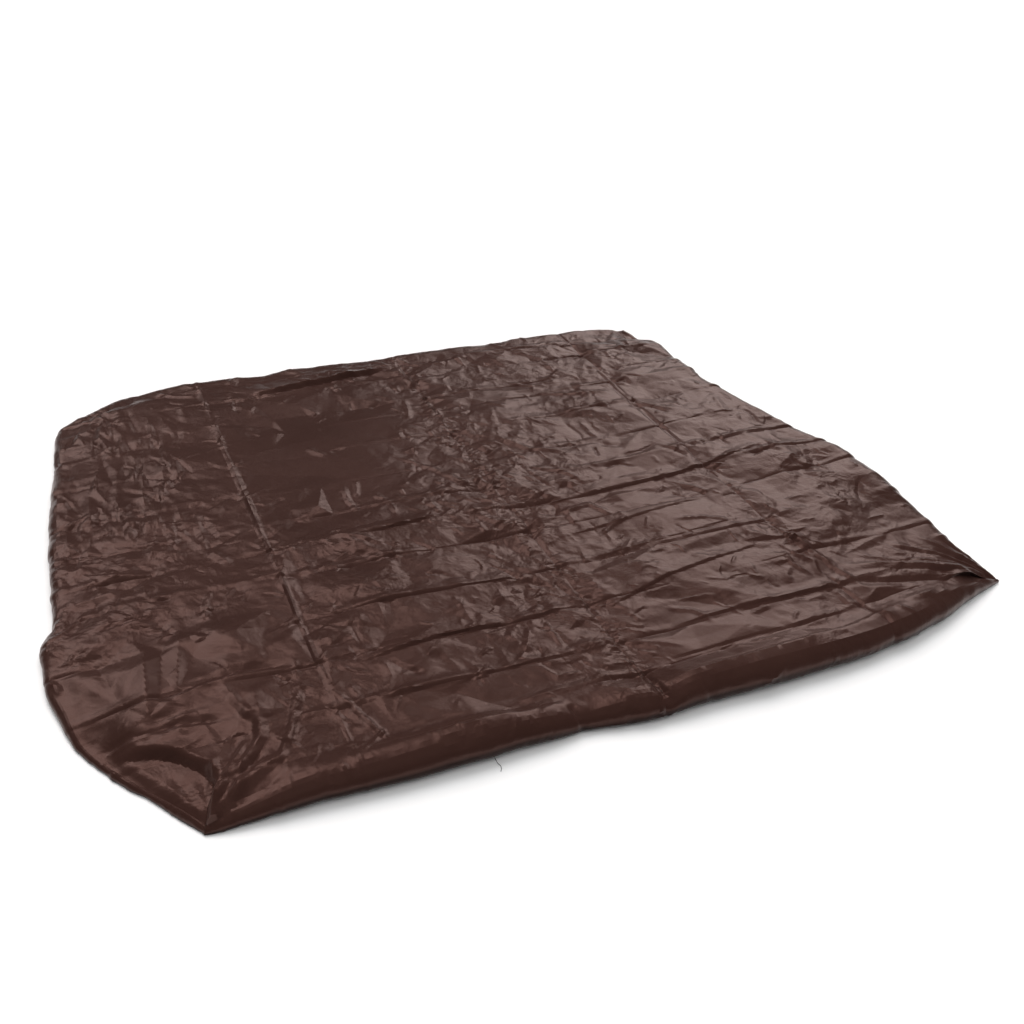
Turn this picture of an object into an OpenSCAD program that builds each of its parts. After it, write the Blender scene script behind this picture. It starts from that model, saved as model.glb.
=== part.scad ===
// Fitted spa cover of thin coated polyester, lying loosely on a floor with its skirt tucked under.
// Millimetres, +Z up, the floor at z = 0 and the origin at the bottom centre of the laid cover.
// The cloth is two widths joined by a middle seam. A short seam closes each corner, and an elastic
// cord runs round the hem in a casing of folded tape, with its knot and loop at the front left corner.

/* [Cover] */
// Side of the square spa top that the cover fits
top_side = 2000; // [1800:50:2200]
// Height of the top over the floor, where the cloth is loosely puffed up
crown_h = 66; // [56:2:80]
// Thickness of the cloth as modelled
cloth_t = 2; // [1.5:0.5:2.5]

/* [Hem] */
// Width of the hem casing
casing_w = 26; // [22:1:30]
// Height of the hem casing
casing_h = 6; // [6:0.5:8]
// Wall of the hem casing
casing_wall = 0.9; // [0.6:0.1:1]
// Diameter of the elastic cord
elastic_d = 3.5; // [3:0.1:3.8]
// Length of the elastic's free loop
loop_len = 44; // [40:1:50]

/* [Seams] */
// Width of the sealing tape under a seam
tape_w = 22; // [16:1:28]
// Thickness of the sealing tape
tape_t = 0.5; // [0.4:0.1:0.8]
// Distance between the two rows of stitching on the middle seam
row_gap = 8; // [6:1:10]
// Thickness of a raised row of stitching
thread_t = 0.8; // [0.6:0.1:1]
// How far a corner seam runs in over the top
corner_run = 150; // [120:10:160]

/* [Hidden] */

cloth_colour = "#4c3833";
trim_colour = "#2f2422";
elastic_colour = "#16120f";

scale_k = top_side / 2000;          // the laid outline below belongs to a 2000 mm top
seam_x = 50 * scale_k;              // the middle seam lies a little right of the centre
far = 3000;                         // longer than the cover, for cutting
eps = 0.05;
clear = 0.8;                        // gap between a tape and the cloth over it
crown_share = 0.82;                 // where the top is level, as a share of the way out to the rim
hem_lift = 2;                       // the hem lies this far over the floor
casing_rise = 0.5;                  // the casing's middle lies this far over the cloth's
rest_share = 0.6;                   // the tucked skirt lies flat on the floor this far in to the hem
steps = 3;                          // curve pieces from one outline point to the next

// The laid outline, anticlockwise from the front left tip: across, back, height of the rolled edge,
// and how far the skirt is tucked in under it. The first and second numbers grow with the top.
RIM = [
    [-905, -900, 14, 70], [-730, -917, 44, 210], [-535, -924, 64, 260], [-345, -924, 68, 270],
    [-115, -916, 50, 270], [50, -936, 58, 275], [200, -936, 70, 275], [405, -936, 76, 275],
    [705, -917, 70, 270], [1030, -830, 46, 290], [1140, -782, 18, 300], [1122, -655, 42, 210],
    [1142, -405, 58, 140], [1152, -140, 60, 130], [1080, 108, 56, 120], [1002, 462, 52, 120],
    [972, 812, 46, 250], [950, 916, 34, 320], [865, 938, 36, 320], [500, 924, 54, 260],
    [50, 910, 56, 260], [-300, 900, 56, 260], [-795, 884, 44, 260], [-1010, 732, 38, 220],
    [-1052, 490, 44, 140], [-1094, 100, 48, 130], [-1120, -240, 42, 130], [-1152, -390, 38, 110],
    [-1095, -612, 16, 34], [-1017, -742, 13, 34]
];
front_seam_at = 5;                  // outline points on the middle seam
back_seam_at = 20;
front_left_at = 29;                 // outline points at the four corner seams
front_right_at = 9.7;
back_right_at = 17.3;
back_left_at = 22.5;
knot_at = 28;

// A smooth closed curve through the outline's points, at any place t counted in points.
function pick(i) =
    let (p = RIM[(i + 4 * len(RIM)) % len(RIM)])
    [p[0] * scale_k, p[1] * scale_k, p[2], p[3]];
function bend(a, b, c, d, t) =
    b + (c - a) * t / 2 + (2 * a - 5 * b + 4 * c - d) * t * t / 2 + (3 * b - a - 3 * c + d) * t * t * t / 2;
function rim(t) =
    let (i = floor(t))
    bend(pick(i - 1), pick(i), pick(i + 1), pick(i + 2), t - i);
function unit(v) = v / norm(v);
function flat(v) = [v[0], v[1]];
function in_dir(t) = -unit(flat(rim(t)));
// The place at an inset from the rim towards the middle, at height z.
function spot(t, inset, z) =
    let (p = flat(rim(t)) + in_dir(t) * inset)
    [p[0], p[1], z];
function crown_in(t) = norm(flat(rim(t))) * (1 - crown_share);

// The rolled edge's section at place t, as [inset, height], at depth e inside the cloth's outer face.
roll_turn = [90:-22.5:-90];
roll_reach = 0.75;                  // how far the roll reaches in, as a share of its height
function roll(t, a, e) =
    let (h = rim(t)[2], reach = h * roll_reach)
    [e + (reach - e) * (1 - cos(a)), h / 2 + (h / 2 - e) * sin(a)];
function hem(t) = flat(spot(t, rim(t)[3], 0));
function hem_in(t) =
    let (run = hem(t + 0.3) - hem(t - 0.3))
    unit([-run[1], run[0]]);
function hem_spot(t, u, z) =
    let (p = hem(t) + hem_in(t) * u)
    [p[0], p[1], z];
function stations(from, to) =
    let (count = max(2, ceil((to - from) * steps)))
    [for (i = [0:count]) from + (to - from) * i / count];

// A closed skin over a stack of rings with the same number of points each.
module stack(rings) {
    n = len(rings[0]);
    last = len(rings) - 1;
    sides = [for (j = [0:last - 1]) for (i = [0:n - 1])
        let (a = j * n + i, b = j * n + (i + 1) % n)
        each [[a, b, b + n], [a, b + n, a + n]]];
    first_cap = [for (i = [n - 1:-1:0]) i];
    last_cap = [for (i = [0:n - 1]) last * n + i];
    polyhedron([for (r = rings) for (p = r) p], concat(sides, [first_cap, last_cap]));
}

// The whole cloth: level top, slope, rolled edge and tucked skirt down to the hem.
module skin() {
    at = [for (i = [0:len(RIM) * steps - 1]) i / steps];
    function ring(a, e) = [for (t = at) let (s = roll(t, a, e)) spot(t, s[0], s[1])];
    stack(concat(
        [[for (t = at) spot(t, crown_in(t), crown_h)]],
        [for (a = roll_turn) ring(a, 0)],
        [[for (t = at) spot(t, rim(t)[3] * rest_share, 0)]],
        [[for (t = at) hem_spot(t, 0, hem_lift)]],
        [[for (t = at) hem_spot(t, 0, hem_lift + cloth_t)]],
        [[for (t = at) spot(t, rim(t)[3] * rest_share, cloth_t)]],
        [for (a = roll_turn) ring(-a, cloth_t)],
        [[for (t = at) spot(t, crown_in(t), crown_h - cloth_t)]]
    ));
}

// The elastic's loop comes out through a slot in the edge.
slot_w = 14;
slot_h = 7;
slot_past = 5;                      // the slot's cut runs past the edge and the floor this far
module loop_slot() {
    way = in_dir(knot_at);
    translate(spot(knot_at, -slot_past, 0)) {
        rotate([0, 0, atan2(way[1], way[0])]) {
            translate([0, -slot_w / 2, -slot_past]) cube([loop_len + slot_past, slot_w, slot_h + slot_past]);
        }
    }
}
module cloth_half(side) {
    color(cloth_colour) {
        difference() {
            intersection() {
                skin();
                translate([side > 0 ? seam_x : seam_x - far, -far / 2, -far / 2]) cube(far);
            }
            if (side < 0) {
                loop_slot();
            }
        }
    }
}
module left_cloth() { cloth_half(-1); }
module right_cloth() { cloth_half(1); }

// A band of tape or thread that follows the section of the edge: from the tucked skirt, round the roll
// and over the top, between two depths. low is the lowest angle on the roll that it reaches.
function edge_path(t, e, low, tuck) = concat(
    tuck > 0 ? [[tuck, e + hem_lift * tuck / rim(t)[3]]] : [],
    [for (a = roll_turn) if (-a >= low) roll(t, -a, e)]
);
function slope_z(t, inset) =
    let (h = rim(t)[2], from = h * roll_reach)
    h + (crown_h - h) * (inset - from) / (crown_in(t) - from);
function reversed(list) = [for (i = [len(list) - 1:-1:0]) list[i]];
module band(path_out, path_in, width) {
    rotate([90, 0, 0]) linear_extrude(width, center = true) polygon(concat(path_out, reversed(path_in)));
}
module corner_band(t, e_out, e_in, low, tuck, width) {
    way = in_dir(t);
    function run(e) = concat(edge_path(t, e, low, tuck), [[corner_run, slope_z(t, corner_run) - e]]);
    translate(spot(t, 0, 0)) rotate([0, 0, atan2(way[1], way[0])]) band(run(e_out), run(e_in), width);
}
module middle_band(e_out, e_in, low, tuck, width) {
    front_y = rim(front_seam_at)[1];
    back_y = rim(back_seam_at)[1];
    function end(t, e) = concat(edge_path(t, e, low, tuck), [[crown_in(t), crown_h - e]]);
    function run(e) = concat(
        [for (p = end(front_seam_at, e)) [front_y + p[0], p[1]]],
        reversed([for (p = end(back_seam_at, e)) [back_y - p[0], p[1]]])
    );
    translate([seam_x, 0, 0]) rotate([0, 0, 90]) band(run(e_out), run(e_in), width);
}

tape_from = cloth_t + clear;
middle_tuck = 235;                  // the middle tape ends before the hem
module centre_seam_tape() {
    color(trim_colour) middle_band(tape_from, tape_from + tape_t, -90, middle_tuck, tape_w);
}
module centre_seam_stitching() {
    for (side = [-1, 1]) {
        translate([side * row_gap / 2, 0, 0]) color(trim_colour) middle_band(0, -thread_t, -45, 0, thread_t);
    }
}

// A corner tape turns round the roll and stops where the cloth meets the floor.
module corner_tape(t) {
    color(trim_colour) corner_band(t, tape_from, tape_from + tape_t, -45, 0, tape_w);
}
module corner_tape_front_left() { corner_tape(front_left_at); }
module corner_tape_front_right() { corner_tape(front_right_at); }
module corner_tape_back_right() { corner_tape(back_right_at); }
module corner_tape_back_left() { corner_tape(back_left_at); }
module corner_stitching() {
    for (t = [front_left_at, front_right_at, back_right_at, back_left_at]) {
        color(trim_colour) corner_band(t, 0, -thread_t, -45, 0, thread_t);
    }
}

// A bar of any section [inset, height] that follows the hem from one place to another.
module hem_bar(section, from, to) {
    stack([for (t = stations(from, to)) [for (s = section) hem_spot(t, s[0], s[1])]]);
}
function box_section(u0, u1, z0, z1) = [[u0, z0], [u0, z1], [u1, z1], [u1, z0]];

// The casing is tape folded to a flat tube and sewn to the skirt's end. Its four lengths meet at three
// corners, and leave a gap for the knot at the front left one.
casing_z = hem_lift + cloth_t / 2 - casing_h / 2 + casing_rise;
sewn_w = 3;                         // the tape's two layers lie together this far, with the stitching
knot_gap = 0.16;                    // half the gap in the casing, counted in outline points
butt = 0.004;                       // half the gap where two lengths meet
run_front = [knot_at - len(RIM) + knot_gap, front_right_at - butt];
run_right = [front_right_at + butt, back_right_at - butt];
run_back = [back_right_at + butt, back_left_at - butt];
run_left = [back_left_at + butt, knot_at - knot_gap];
module casing(run) {
    cavity = box_section(sewn_w, casing_w - casing_wall, casing_z + casing_wall,
        casing_z + casing_h - casing_wall);
    color(trim_colour) {
        difference() {
            hem_bar(box_section(0, casing_w, casing_z, casing_z + casing_h), run[0], run[1]);
            hem_bar(cavity, run[0] - eps, run[1] + eps);
        }
    }
}
module hem_casing_front() { casing(run_front); }
module hem_casing_right() { casing(run_right); }
module hem_casing_back() { casing(run_back); }
module hem_casing_left() { casing(run_left); }
module hem_stitching() {
    top_z = casing_z + casing_h;
    row = box_section(sewn_w / 2, sewn_w / 2 + thread_t, top_z, top_z + thread_t);
    for (run = [run_front, run_right, run_back, run_left]) {
        color(trim_colour) hem_bar(row, run[0] + eps, run[1] - eps);
    }
}

// The elastic runs in the middle of the casing, all the way round to the knot.
elastic_u = (sewn_w + casing_w) / 2;
elastic_z = casing_z + casing_h / 2;
knot_d = 10;
knot_z = 4.4;
knot_half = 0.02;                   // half the knot's width, counted in outline points
loop_out = loop_len / 4;            // the loop reaches this far out past the cover's edge
loop_leg = 1.8;                     // half the distance between the loop's two ends in the knot
loop_lift = 0.2;                    // gap between the loop and the floor
loop_gap = 1;                       // gap between the loop and the slot's side
knot_shape = [1, 1.3, 0.8];         // the knot is a ball, wider along the hem and flatter
module elastic_cord() {
    section = [for (a = [0:45:315])
        [elastic_u - cos(a) * elastic_d / 2, elastic_z + sin(a) * elastic_d / 2]];
    color(elastic_colour) hem_bar(section, knot_at - len(RIM) + knot_half, knot_at - knot_half);
}

// A round cord in a level plane, along a list of points.
module level_cord(points, d) {
    stack([for (i = [0:len(points) - 1])
        let (run = unit(points[min(i + 1, len(points) - 1)] - points[max(i - 1, 0)]))
        [for (a = [0:45:315]) [
            points[i][0] + run[1] * cos(a) * d / 2,
            points[i][1] - run[0] * cos(a) * d / 2,
            sin(a) * d / 2
        ]]]);
}
// The knot, with the spare elastic tied in a small loop that lies out through the slot.
module elastic_knot() {
    place = hem_spot(knot_at, elastic_u, 0);
    rim_place = spot(knot_at, -loop_out, 0);
    way = rim_place - place;
    reach = norm(way);
    loop_r = slot_w / 2 - elastic_d / 2 - loop_gap;
    turn = [for (a = [-150:30:150]) [reach - loop_r + loop_r * cos(a), loop_r * sin(a)]];
    color(elastic_colour) {
        translate(place) {
            rotate([0, 0, atan2(way[1], way[0])]) {
                translate([0, 0, knot_z]) scale(knot_shape) sphere(d = knot_d, $fn = 24);
                translate([0, 0, elastic_d / 2 + loop_lift]) {
                    level_cord(concat([[elastic_d / 2, -loop_leg]], turn, [[elastic_d / 2, loop_leg]]), elastic_d);
                }
            }
        }
    }
}

left_cloth();
right_cloth();
centre_seam_tape();
centre_seam_stitching();
corner_tape_front_left();
corner_tape_front_right();
corner_tape_back_right();
corner_tape_back_left();
corner_stitching();
hem_casing_front();
hem_casing_right();
hem_casing_back();
hem_casing_left();
hem_stitching();
elastic_cord();
elastic_knot();
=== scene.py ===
"""Visual model of a fitted spa cover, laid loosely on a floor with its skirt tucked under."""
import math

import bpy
import numpy as np
from mathutils import Matrix, Vector
from mathutils.geometry import delaunay_2d_cdt


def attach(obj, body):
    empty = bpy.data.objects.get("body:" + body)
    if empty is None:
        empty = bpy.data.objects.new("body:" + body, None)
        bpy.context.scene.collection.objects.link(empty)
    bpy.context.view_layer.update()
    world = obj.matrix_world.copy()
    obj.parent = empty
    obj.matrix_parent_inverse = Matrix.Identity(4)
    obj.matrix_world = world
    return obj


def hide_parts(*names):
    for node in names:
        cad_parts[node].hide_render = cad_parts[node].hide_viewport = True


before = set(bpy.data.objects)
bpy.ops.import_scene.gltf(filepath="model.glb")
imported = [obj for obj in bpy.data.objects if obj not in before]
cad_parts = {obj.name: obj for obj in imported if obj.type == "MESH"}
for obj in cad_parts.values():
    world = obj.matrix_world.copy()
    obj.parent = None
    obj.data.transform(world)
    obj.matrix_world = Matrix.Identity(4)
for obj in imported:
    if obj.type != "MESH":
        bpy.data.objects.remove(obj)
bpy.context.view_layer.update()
BODY = "root"
rng = np.random.default_rng(11)

# ---------------------------------------------------------------- the laid outline
# Each side runs from one corner of the cover to the next: x, y and the height of the rolled edge, in metres.
FRONT = [
    (-0.905, -0.898, 0.01), (-0.83, -0.908, 0.034), (-0.731, -0.914, 0.056), (-0.535, -0.921, 0.068),
    (-0.346, -0.921, 0.074), (-0.21, -0.917, 0.066), (-0.116, -0.911, 0.048), (-0.03, -0.922, 0.056),
    (0.053, -0.935, 0.06), (0.142, -0.936, 0.072), (0.403, -0.937, 0.078), (0.707, -0.916, 0.072),
    (0.9, -0.868, 0.06), (1.028, -0.822, 0.042), (1.1, -0.796, 0.024), (1.14, -0.783, 0.008),
]
RIGHT = [
    (1.14, -0.783, 0.008), (1.131, -0.735, 0.026), (1.118, -0.653, 0.044), (1.132, -0.53, 0.054),
    (1.142, -0.404, 0.06), (1.15, -0.2, 0.06), (1.146, -0.11, 0.058), (1.118, -0.01, 0.054),
    (1.08, 0.108, 0.052), (1.036, 0.3, 0.052), (1.008, 0.462, 0.052), (1.006, 0.6, 0.05),
    (1.012, 0.72, 0.046), (1.004, 0.79, 0.04), (0.968, 0.822, 0.032), (0.96, 0.86, 0.034),
    (0.956, 0.912, 0.026),
]
BACK = [
    (-0.925, 0.8, 0.042), (-0.85, 0.856, 0.04), (-0.794, 0.886, 0.034), (-0.77, 0.876, 0.04),
    (-0.6, 0.889, 0.054), (-0.3, 0.898, 0.056), (0.0, 0.904, 0.052), (0.194, 0.912, 0.054),
    (0.5, 0.922, 0.056), (0.7, 0.932, 0.048), (0.865, 0.938, 0.034), (0.956, 0.912, 0.026),
]
LEFT = [
    (-0.905, -0.898, 0.01), (-0.96, -0.818, 0.012), (-1.017, -0.74, 0.012), (-1.062, -0.672, 0.012),
    (-1.094, -0.611, 0.014), (-1.12, -0.52, 0.024), (-1.146, -0.4, 0.036), (-1.145, -0.33, 0.04),
    (-1.138, -0.28, 0.04), (-1.114, -0.228, 0.042), (-1.106, -0.1, 0.046), (-1.094, 0.099, 0.048),
    (-1.074, 0.3, 0.046), (-1.054, 0.489, 0.042), (-1.042, 0.6, 0.04), (-1.012, 0.734, 0.034),
    (-0.925, 0.8, 0.042),
]
# The middle seam, the lengthwise pack folds, each cross fold's y at the left, and its rise towards the right.
SEAM_X = 0.05
FOLD_X = (-0.6, SEAM_X, 0.68)
FOLD_Y = (-0.823, -0.713, -0.562, -0.405, -0.233, -0.115, 0.003, 0.152, 0.332, 0.481, 0.568, 0.709, 0.811)
FOLD_LIFT = (0.05, 0.012, 0.014, 0.02, 0.042, 0.05, 0.045, 0.036, 0.028, 0.02, 0.016, 0.01, 0.004)
# The top's cell across, and its cell at the front and at the back; the side rows bend over this many columns.
STEP_X = 0.0047
STEP_Y = (0.0042, 0.0062)
BEND_COLUMNS = 60


def smooth(t):
    """An S-shaped step from 0 to 1."""
    t = np.clip(t, 0, 1)
    return t * t * (3 - 2 * t)


def spline(points, key, at):
    """A smooth curve through given points, read at places along axis number key."""
    p = np.array(points, float)
    if p[0, key] > p[-1, key]:
        p = p[::-1]
    k = np.maximum.accumulate(p[:, key] + np.arange(len(p)) * 1e-6)
    slope = np.gradient(p, k, axis=0)
    secant = np.diff(p, axis=0) / np.diff(k)[:, None]
    for i in range(len(p)):
        near = secant[max(0, i - 1) : i + 1]
        limit = 3 * np.abs(near).min(axis=0)
        same = (np.sign(near) == np.sign(near[0])).all(axis=0)
        slope[i] = np.where(same, np.sign(slope[i]) * np.minimum(np.abs(slope[i]), limit), 0)
    at = np.clip(at, k[0], k[-1])
    i = np.clip(np.searchsorted(k, at) - 1, 0, len(k) - 2)
    h = (k[i + 1] - k[i])[:, None]
    t = ((at - k[i]) / (k[i + 1] - k[i]))[:, None]
    return (
        (1 + 2 * t) * (1 - t) ** 2 * p[i]
        + t * (1 - t) ** 2 * h * slope[i]
        + t * t * (3 - 2 * t) * p[i + 1]
        + t * t * (t - 1) * h * slope[i + 1]
    )


def fold_y(k, x):
    """Where cross fold k runs: level over most of the cover and a little higher towards the right."""
    return FOLD_Y[k] + FOLD_LIFT[k] * smooth((np.asarray(x) - 0.1) / 0.95)


# ---------------------------------------------------------------- the top's grid
def shares(stops, step):
    """How many cells lie between each two stops; step holds the cell at the first and the last stop."""
    stops = np.array(stops)
    middle = (stops[1:] + stops[:-1]) / 2
    cell = np.interp(middle, [stops[0], stops[-1]], step)
    return np.maximum(2, np.round(np.diff(stops) / cell)).astype(int)


column_counts = shares([-1.01, *FOLD_X, 1.06], (STEP_X, STEP_X))
row_counts = shares([-0.915, *FOLD_Y, 0.9], STEP_Y)
columns = np.concatenate([[0], np.cumsum(column_counts)])
rows = np.concatenate([[0], np.cumsum(row_counts)])
NX, NY = int(columns[-1]), int(rows[-1])
SEAM_COLUMN = int(columns[2])


def spread_rows(low, high, x):
    """The rows' y at one x: on the front edge, on each fold, on the back edge and evenly between."""
    folds = [fold_y(k, x) for k in range(len(FOLD_Y))]
    floor_y = low + 0.01 * np.arange(1, len(folds) + 1)
    ceiling_y = high - 0.01 * np.arange(len(folds), 0, -1)
    stops = np.concatenate([[low], np.clip(folds, floor_y, ceiling_y), [high]])
    return np.interp(np.arange(NY + 1), rows, stops)


def even_columns(left, right):
    """The columns' x from one side to the other, with a column on each lengthwise fold."""
    return np.interp(np.arange(NX + 1), columns, [left, *FOLD_X, right])


front = spline(FRONT, 0, even_columns(FRONT[0][0], FRONT[-1][0]))
back = spline(BACK, 0, even_columns(BACK[0][0], BACK[-1][0]))
left = spline(LEFT, 1, spread_rows(LEFT[0][1], LEFT[-1][1], LEFT[0][0]))
right = spline(RIGHT, 1, spread_rows(RIGHT[0][1], RIGHT[-1][1], RIGHT[0][0]))
X = np.array([even_columns(a, b) for a, b in zip(left[:, 0], right[:, 0])])
X[0], X[-1] = front[:, 0], back[:, 0]
Y = np.array([spread_rows(front[i, 1], back[i, 1], front[i, 0]) for i in range(NX + 1)]).T
Y[:, 0], Y[:, -1] = left[:, 1], right[:, 1]
blend = np.minimum(np.arange(NX + 1), NX - np.arange(NX + 1)) / BEND_COLUMNS
ends = np.where(np.arange(NX + 1)[None, :] < NX / 2, left[:, 1:2], right[:, 1:2])
Y = ends + (Y - ends) * smooth(blend)[None, :]
Y[0], Y[-1] = front[:, 1], back[:, 1]

# The closed edge, anticlockwise from the front left corner, as (row, column) pairs.
edge_rc = (
    [(0, i) for i in range(NX)]
    + [(j, NX) for j in range(NY)]
    + [(NY, i) for i in range(NX, 0, -1)]
    + [(j, 0) for j in range(NY, 0, -1)]
)
edge_rc = np.array(edge_rc)
EDGE = len(edge_rc)
CORNERS = {"front_left": 0, "front_right": NX, "back_right": NX + NY, "back_left": 2 * NX + NY}
rim = np.concatenate([front[:-1], right[:-1], back[:0:-1], left[:0:-1]])


def around(values, width):
    """Smooth values along the closed edge."""
    reach = int(3 * width)
    kernel = np.exp(-0.5 * (np.arange(-reach, reach + 1) / width) ** 2)
    kernel /= kernel.sum()
    padded = np.concatenate([values[-reach:], values, values[:reach]])
    return np.stack([np.convolve(padded[:, k], kernel, "valid") for k in range(values.shape[1])], 1)


run = np.roll(rim[:, :2], -1, 0) - np.roll(rim[:, :2], 1, 0)
run = around(run / np.linalg.norm(run, axis=1, keepdims=True), 4)
run /= np.linalg.norm(run, axis=1, keepdims=True)
inward = np.stack([-run[:, 1], run[:, 0]], 1)
edge_h = around(rim[:, 2:3], 2)[:, 0]
# The shoulder of the rolled edge lies in from the rim by this share of the edge's height.
SHOULDER_SHARE = 0.75
reach_in = SHOULDER_SHARE * edge_h
edge_s = np.concatenate([[0], np.cumsum(np.linalg.norm(np.diff(rim[:, :2], axis=0), axis=1))])

# Pull the top's grid in from the rim, to the shoulder of the rolled edge.
shoulder_move = inward * reach_in[:, None]
side_front = shoulder_move[: NX + 1]
side_right = shoulder_move[NX : NX + NY + 1]
side_back = shoulder_move[NX + NY : 2 * NX + NY + 1][::-1]
side_left = np.concatenate([shoulder_move[2 * NX + NY :], shoulder_move[:1]])[::-1]
BORDER = 32
w_front = np.clip(1 - np.arange(NY + 1) / BORDER, 0, 1)[:, None, None]
w_back = w_front[::-1]
w_left = np.clip(1 - np.arange(NX + 1) / BORDER, 0, 1)[None, :, None]
w_right = w_left[:, ::-1]
move = w_front * side_front[None] + w_back * side_back[None] + w_left * side_left[:, None]
move = move + w_right * side_right[:, None]
for w_a, w_b, corner in (
    (w_front, w_left, 0), (w_front, w_right, NX), (w_back, w_right, NX + NY), (w_back, w_left, 2 * NX + NY)
):
    move = move - w_a * w_b * shoulder_move[corner]
X = X + move[:, :, 0]
Y = Y + move[:, :, 1]

# ---------------------------------------------------------------- folds and crumples, drawn on a flat raster
CELL = 0.0026
RX, RY = 1.5, 1.26
gx = np.arange(-RX, RX, CELL)
gy = np.arange(-RY, RY, CELL)
GX, GY = np.meshgrid(gx, gy)
relief = np.zeros_like(GX)


def wave(at, length, seed):
    """Smooth noise from -1 to 1 along one axis."""
    knots = np.random.default_rng(seed).uniform(-1, 1, 400)
    t = np.asarray(at) / length + 100
    i = np.floor(t).astype(int)
    f = smooth(t - i)
    return knots[i] * (1 - f) + knots[i + 1] * f


def cloud(x, y, length, seed):
    """Smooth noise from -1 to 1 over the plane."""
    knots = np.random.default_rng(seed).uniform(-1, 1, (160, 160))
    u, v = np.asarray(x) / length + 60, np.asarray(y) / length + 60
    i, j = np.floor(u).astype(int), np.floor(v).astype(int)
    f, g = smooth(u - i), smooth(v - j)
    near = knots[j, i] * (1 - f) + knots[j, i + 1] * f
    far = knots[j + 1, i] * (1 - f) + knots[j + 1, i + 1] * f
    return near * (1 - g) + far * g


def bump_at(x, y, reach_x, reach_y):
    """A soft spot that is 1 at its middle, for weighting the creases by place."""
    return lambda u, v: np.exp(-(((u - x) / reach_x) ** 2 + ((v - y) / reach_y) ** 2))


CREASED = [
    (0.5, bump_at(SEAM_X, 0.0, 0.1, 3.0)),
    (0.45, bump_at(0.22, 0.05, 0.16, 0.22)),
    (0.55, bump_at(-1.0, -0.3, 0.14, 0.1)),
    (0.5, bump_at(-1.0, -0.02, 0.13, 0.1)),
    (0.4, bump_at(-0.8, 0.05, 0.12, 0.16)),
    (0.35, bump_at(0.72, -0.45, 0.2, 0.2)),
    (0.4, bump_at(0.68, 0.7, 0.16, 0.12)),
    (0.4, bump_at(0.98, -0.2, 0.12, 0.14)),
    (0.3, bump_at(-0.05, -0.55, 0.15, 0.4)),
    (0.3, bump_at(-0.45, -0.3, 0.25, 0.16)),
    (0.4, bump_at(-0.87, -0.85, 0.08, 0.08)),
    (-0.5, bump_at(-0.33, 0.38, 0.2, 0.26)),
    (-0.3, bump_at(0.48, 0.1, 0.16, 0.14)),
    (-0.25, bump_at(0.35, -0.75, 0.3, 0.12)),
    (-0.4, bump_at(-0.93, -0.5, 0.22, 0.09)),
]


def creased(x, y):
    """How creased the cloth is at a place: about 1 in the busy parts and near 0.1 in the calm ones."""
    value = 0.42 + 0.3 * cloud(x, y, 0.13, 51)
    for weight, spot in CREASED:
        value = value + weight * spot(x, y)
    return np.clip(value, 0.06, 1.15)


def folded(x, y):
    """How much the pack folds show: fully in most places, and little in the calm part at the back left."""
    return 1 - 0.75 * np.minimum(1, 1.5 * bump_at(-0.6, 0.38, 0.55, 0.34)(x, y))


def window(x0, y0, x1, y1):
    """The part of the raster that covers a box, or nothing when the box lies outside it."""
    i0, i1 = max(int((x0 + RX) / CELL), 0), min(int((x1 + RX) / CELL) + 2, len(gx))
    j0, j1 = max(int((y0 + RY) / CELL), 0), min(int((y1 + RY) / CELL) + 2, len(gy))
    return (slice(j0, j1), slice(i0, i1)) if i0 < i1 and j0 < j1 else None


def dent(x, y, angle, ahead, behind, side_a, side_b, height):
    """A four-sided peak or pit with sharp edges, longest along its angle."""
    size = max(ahead, behind, side_a, side_b)
    part = window(x - size, y - size, x + size, y + size)
    if part is None:
        return
    dx, dy = GX[part] - x, GY[part] - y
    c, s = math.cos(angle), math.sin(angle)
    along, across = dx * c + dy * s, dy * c - dx * s
    fall = np.where(along > 0, along / ahead, -along / behind)
    fall = fall + np.where(across > 0, across / side_a, -across / side_b)
    relief[part] += height * np.clip(1 - fall, 0, None)


def ridge(line, height, side_a, side_b):
    """A sharp fold along a line of places, steeper on one side, that dies away at both ends."""
    line = np.array(line, float)
    low, high = line.min(axis=0), line.max(axis=0)
    room = max(side_a, side_b) + 0.004
    part = window(low[0] - room, low[1] - room, high[0] + room, high[1] + room)
    if part is None:
        return
    px, py = GX[part], GY[part]
    lengths = np.linalg.norm(np.diff(line, axis=0), axis=1)
    total, done = lengths.sum(), 0.0
    best = np.zeros_like(px)
    for p, q, length in zip(line[:-1], line[1:], lengths):
        t = np.clip(((px - p[0]) * (q[0] - p[0]) + (py - p[1]) * (q[1] - p[1])) / length ** 2, 0, 1)
        dx, dy = px - p[0] - t * (q[0] - p[0]), py - p[1] - t * (q[1] - p[1])
        left_side = (q[0] - p[0]) * dy - (q[1] - p[1]) * dx > 0
        fall = np.hypot(dx, dy) / np.where(left_side, side_a, side_b)
        share = (done + t * length) / total
        taper = smooth(3.5 * np.minimum(share, 1 - share) + 0.1)
        best = np.maximum(best, taper * np.clip(1 - fall, 0, None))
        done += length
    relief[part] += height * best


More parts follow.
